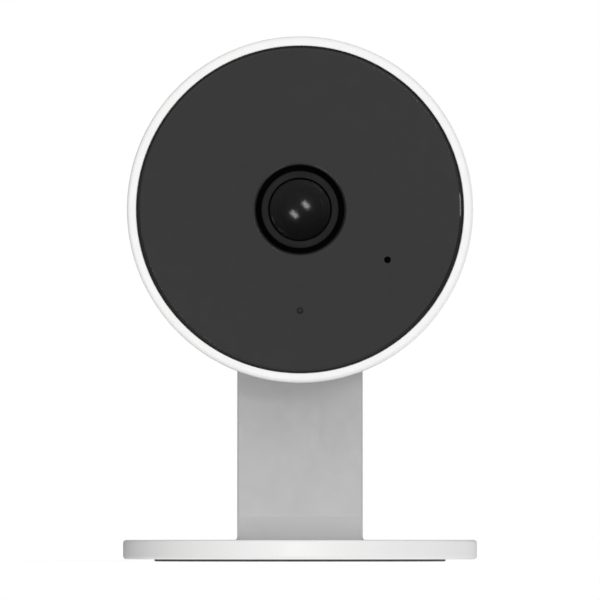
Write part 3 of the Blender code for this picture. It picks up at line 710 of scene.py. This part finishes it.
def build_lens():
    seat = FRONT_GLASS_RADIUS + 0.06
    baffle = []
    for depth in (5.0, 5.6, 6.2, 6.8, 7.4):
        baffle += [(4.4, depth), (4.25, depth - 0.3)]
    outline = [
        (seat, 1.0, 0.1),
        (BEZEL_RADIUS, 1.0, 0.22),
        (BEZEL_RADIUS, 3.2, 0.1),
        (6.0, 3.2),
        (6.0, 12.4, 0.2),
        (4.4, 12.4),
        (4.4, 8.9),
        (3.4, 8.9, 0.1),
        (3.4, 7.7, 0.1),
        (4.4, 7.7),
        *reversed(baffle),
        (4.4, 4.0),
        (seat, 4.0),
    ]
    piece("lens_tube", turned(outline), HEAD, "black_plastic", "lens_barrel")
    hood = [(8.3, 2.45, 0.1), (9.2, 2.45, 0.1), (9.2, 7.2, 0.1)]
    hood += [(6.35, 7.2, 0.1), (6.35, 6.7, 0.1), (8.3, 6.7)]
    for depth in (6.4, 5.4, 4.4, 3.4):
        hood += [(8.3, depth + 0.3), (8.45, depth)]
    piece("lens_seal", turned(hood, segments=FINE), HEAD, "black_rubber", "lens_hood")
    front = lens_face(1.25, FRONT_GLASS_RADIUS, 0.6)
    front += [(FRONT_GLASS_RADIUS, 3.6, 0.1), *reversed(lens_face(2.4, 4.2, 1.2))]
    piece("front_glass", turned(front, segments=FINE), HEAD, "lens_glass", "front_lens")
    middle = [*lens_face(4.6, 4.1, 0.7), *reversed(lens_face(7.3, 4.1, -0.8))]
    piece("middle_glass", turned(middle, segments=FINE), HEAD, "lens_glass", "middle_lens")
    rear = [*lens_face(9.2, 4.1, 0.4), *reversed(lens_face(10.95, 4.1, -0.6))]
    piece("rear_glass", turned(rear, segments=FINE), HEAD, "lens_glass", "rear_lens")
    keeper = ring(2.9, 4.1, 11.3, 12.2, edge=0.15)
    piece("glass_keeper", keeper, HEAD, "black_plastic", "lens_retainer")


# ---------------------------------------------------------------- rear fittings


def build_rear_fittings():
    port = HEAD + Vector((0, 0, USB_Z))
    can = []
    for y, inset in ((20.4, 0.08), (20.48, 0.0), (26.0, 0.0), (26.1, 0.08)):
        flat = rounded_rectangle(8.9 - 2 * inset, 3.2 - 2 * inset, 1.5 - inset)
        can.append([(x, y, z) for x, z in flat])
    hollow = rounded_rectangle(8.3, 2.6, 1.2)
    inside = loft([[(x, y, z) for x, z in hollow] for y in (21.4, 27.0)])
    tongue = block((-3.3, 3.3), (21.0, 25.4), (-0.35, 0.35), 0.12)
    changes = [("DIFFERENCE", inside), ("UNION", tongue)]
    piece("power_inlet", loft(can), port, "bright_steel", "usb_socket", changes)

    stem = [(0, 22.7), (1.0, 22.7, 0.1), (1.0, 23.4), (2.4, 23.4, 0.1), (2.4, 24.3, 0.1), (1.5, 24.3)]
    outline = [*stem, (1.5, 26.4, 0.25), (1.1, 26.4, 0.1), (0.6, 26.3, 0.1), (0, 26.28)]
    place = HEAD + Vector((RESET_AT[0], 0, RESET_AT[1]))
    piece("reset_key", turned(outline, segments=SMALL), place, "white_shell", "reset_button")

    spot = HEAD + Vector((SPEAKER_AT[0], 0, SPEAKER_AT[1]))
    cone = [
        (0, 20.6),
        (5.5, 20.6, 0.3),
        (5.5, 21.4),
        (7.5, 21.4, 0.2),
        (7.5, 23.2, 0.2),
        (6.6, 23.2, 0.1),
        (6.2, 22.7, 0.2),
        (5.6, 22.95, 0.2),
        (5.0, 22.6, 0.2),
        (2.6, 22.3, 0.2),
        (1.8, 22.7, 0.3),
        (0, 22.9),
    ]
    piece("speaker_driver", turned(cone, segments=FINE), spot, "speaker_cone", "speaker")
    gasket = ring(6.0, 7.2, 23.5, 24.1, segments=FINE, edge=0.15)
    piece("speaker_seal", gasket, spot, "black_rubber", "speaker_gasket")


# ---------------------------------------------------------------- carried-over CAD nodes

NODE_SLOTS = {
    "bright_steel": ("base_bottom_plate", "_screw_", "memory_card_socket"),
    "magnet_nickel": ("base_magnet_",),
    "nylon": ("swivel_friction_ring", "status_led"),
    "black_plastic": ("lens_holder", "ir_cut_frame", "ir_cut_slider", "ir_cut_lever"),
    "filter_clear": ("clear_filter",),
    "filter_red": ("ir_cut_filter",),
    "copper_winding": ("ir_cut_coil",),
    "black_board": ("ir_led_board",),
    "led_resin": ("ir_led_1", "ir_led_2", "ir_led_3", "ir_led_4"),
    "shield_can": ("wireless_module", "microphone"),
    "amber_film": ("board_ribbon", "antenna"),
    "green_board": ("main_board",),
    "sensor_face": ("image_sensor",),
    "chip_black": ("processor", "reset_switch"),
}


def slot_of(node):
    """The slot with the longest name for the node, so that a board's screw isn't taken for the board."""
    found = []
    for slot, names in NODE_SLOTS.items():
        found += [(("_screw_" in name, len(name)), slot) for name in names if name in node]
    return max(found)[1]


def finish_cad_nodes():
    for name, node in frame["nodes"].items():
        if node.hide_render:
            continue
        slot = slot_of(name)
        node.data.materials.clear()
        node.data.materials.append(FINISHES[slot])


# ---------------------------------------------------------------- studio

VIEW_WIDTH = 111.68
VIEW_CENTRE = Vector((0.0, -11.0, 48.67))
CAMERA_LENS = 1600.0
CAMERA_HEIGHT = 8.0


def build_camera():
    """A long lens from far away, level with the foot, so that its top and its underside don't show."""
    camera = bpy.data.objects.new("camera", bpy.data.cameras.new("camera"))
    camera.data.sensor_width = 36.0
    camera.data.lens = CAMERA_LENS
    camera.data.clip_start = 0.1
    camera.data.clip_end = 20.0
    distance = VIEW_WIDTH * CAMERA_LENS / camera.data.sensor_width
    place = Vector((0.0, VIEW_CENTRE.y - distance, CAMERA_HEIGHT))
    camera.location = place * MM
    camera.rotation_euler = (VIEW_CENTRE - place).to_track_quat("-Z", "Y").to_euler()
    bpy.context.scene.collection.objects.link(camera)
    bpy.context.scene.camera = camera


# Soft lights, each a direction, the cosines where it starts and where it is full, and its strength
AMBIENT = 0.1
SOFT_LIGHTS = (
    ((0.0, -0.7, 0.7), 0.3, 0.95, 1.0),
    ((0.0, -1.0, 0.0), 0.3, 0.95, 0.18),
    ((-0.7, -0.7, 0.0), 0.3, 0.95, 0.1),
    ((0.87, 0.5, 0.0), 0.55, 0.95, 0.75),
    ((0.0, 0.0, -1.0), 0.3, 0.95, 1.2),
)


def build_world():
    """Soft light that varies with direction, behind a plain white background."""
    world = bpy.data.worlds.new("studio")
    bpy.context.scene.world = world
    world.use_nodes = True
    tree = world.node_tree
    tree.nodes.clear()
    place = add_node(tree, "ShaderNodeTexCoord")
    total = None
    for direction, start, full, strength in SOFT_LIGHTS:
        facing = add_node(tree, "ShaderNodeVectorMath", operation="DOT_PRODUCT")
        facing.inputs[1].default_value = Vector(direction).normalized()
        tree.links.new(place.outputs["Generated"], facing.inputs[0])
        fade = add_node(tree, "ShaderNodeMapRange", interpolation_type="SMOOTHSTEP")
        fade.inputs["From Min"].default_value = start
        fade.inputs["From Max"].default_value = full
        fade.inputs["To Max"].default_value = strength
        tree.links.new(facing.outputs["Value"], fade.inputs["Value"])
        add = add_node(tree, "ShaderNodeMath", operation="ADD")
        tree.links.new(fade.outputs["Result"], add.inputs[0])
        if total is None:
            add.inputs[1].default_value = AMBIENT
        else:
            tree.links.new(total, add.inputs[1])
        total = add.outputs["Value"]
    light = add_node(tree, "ShaderNodeBackground")
    tree.links.new(total, light.inputs["Strength"])
    white = add_node(tree, "ShaderNodeBackground")
    seen = add_node(tree, "ShaderNodeLightPath")
    choose = add_node(tree, "ShaderNodeMixShader")
    output = add_node(tree, "ShaderNodeOutputWorld")
    tree.links.new(seen.outputs["Is Camera Ray"], choose.inputs["Fac"])
    tree.links.new(light.outputs["Background"], choose.inputs[1])
    tree.links.new(white.outputs["Background"], choose.inputs[2])
    tree.links.new(choose.outputs["Shader"], output.inputs["Surface"])
    light.inputs["Color"].default_value = (1.0, 1.0, 1.0, 1.0)
    white.inputs["Color"].default_value = (1.0, 1.0, 1.0, 1.0)


LAMP_DISTANCE = 1200
FRONT_LAMP_SIZE = (126, 67)
FRONT_LAMP_RADIANCE = 30.0
SIDE_LAMP_SIZE = (70, 116)
SIDE_LAMP_RADIANCE = 6.5


def build_lamp(name, direction, size_mm, radiance, roll=0):
    """A rectangular lamp that faces the head's centre, rolled by that many degrees."""
    lamp = bpy.data.lights.new(name, "AREA")
    lamp.shape = "RECTANGLE"
    lamp.size = size_mm[0] * MM
    lamp.size_y = size_mm[1] * MM
    lamp.energy = radiance * pi * lamp.size * lamp.size_y
    made = bpy.data.objects.new(name, lamp)
    away = Vector(direction).normalized()
    made.location = (HEAD + away * LAMP_DISTANCE) * MM
    facing = away.to_track_quat("Z", "Y").to_matrix()
    made.rotation_euler = (facing @ Matrix.Rotation(radians(roll), 3, "Z")).to_euler()
    made.visible_camera = False
    bpy.context.scene.collection.objects.link(made)
    return made


def build_floor():
    """A plain pale floor, wide enough to run to the horizon."""
    shape = bmesh.new()
    bmesh.ops.create_circle(shape, cap_ends=True, segments=ROUND, radius=6.0)
    mesh = bpy.data.meshes.new("studio_floor")
    shape.to_mesh(mesh)
    shape.free()
    floor = bpy.data.objects.new("studio_floor", mesh)
    floor.location.z = -0.02 * MM
    bpy.context.scene.collection.objects.link(floor)
    made = surface("studio_floor", (0.9, 0.9, 0.9), 0.9, tone=0.005, tone_mm=400, grain_mm=3, depth_mm=0.0)
    shader = made.node_tree.nodes["Principled BSDF"]
    shader.inputs["Specular IOR Level"].default_value = 0.0
    shader.inputs["Emission Color"].default_value = (1.0, 1.0, 1.0, 1.0)
    shader.inputs["Emission Strength"].default_value = 0.45
    floor.data.materials.append(made)
    floor.visible_diffuse = False
    floor.visible_glossy = False
    floor.visible_transmission = False
    floor.visible_shadow = False


build_foot()
build_arm()
build_front_shell()
build_rear_shell()
build_panel()
build_lens()
build_rear_fittings()
finish_cad_nodes()
build_camera()
build_world()
build_floor()
build_lamp("upper_lamp", (0.080, -1.0, 0.071), FRONT_LAMP_SIZE, FRONT_LAMP_RADIANCE, -45)
build_lamp("lower_lamp", (-0.077, -1.0, -0.051), FRONT_LAMP_SIZE, FRONT_LAMP_RADIANCE, -45)
build_lamp("side_lamp", (0.706, -0.707, 0.032), SIDE_LAMP_SIZE, SIDE_LAMP_RADIANCE)
bpy.context.scene.view_settings.view_transform = "Standard"
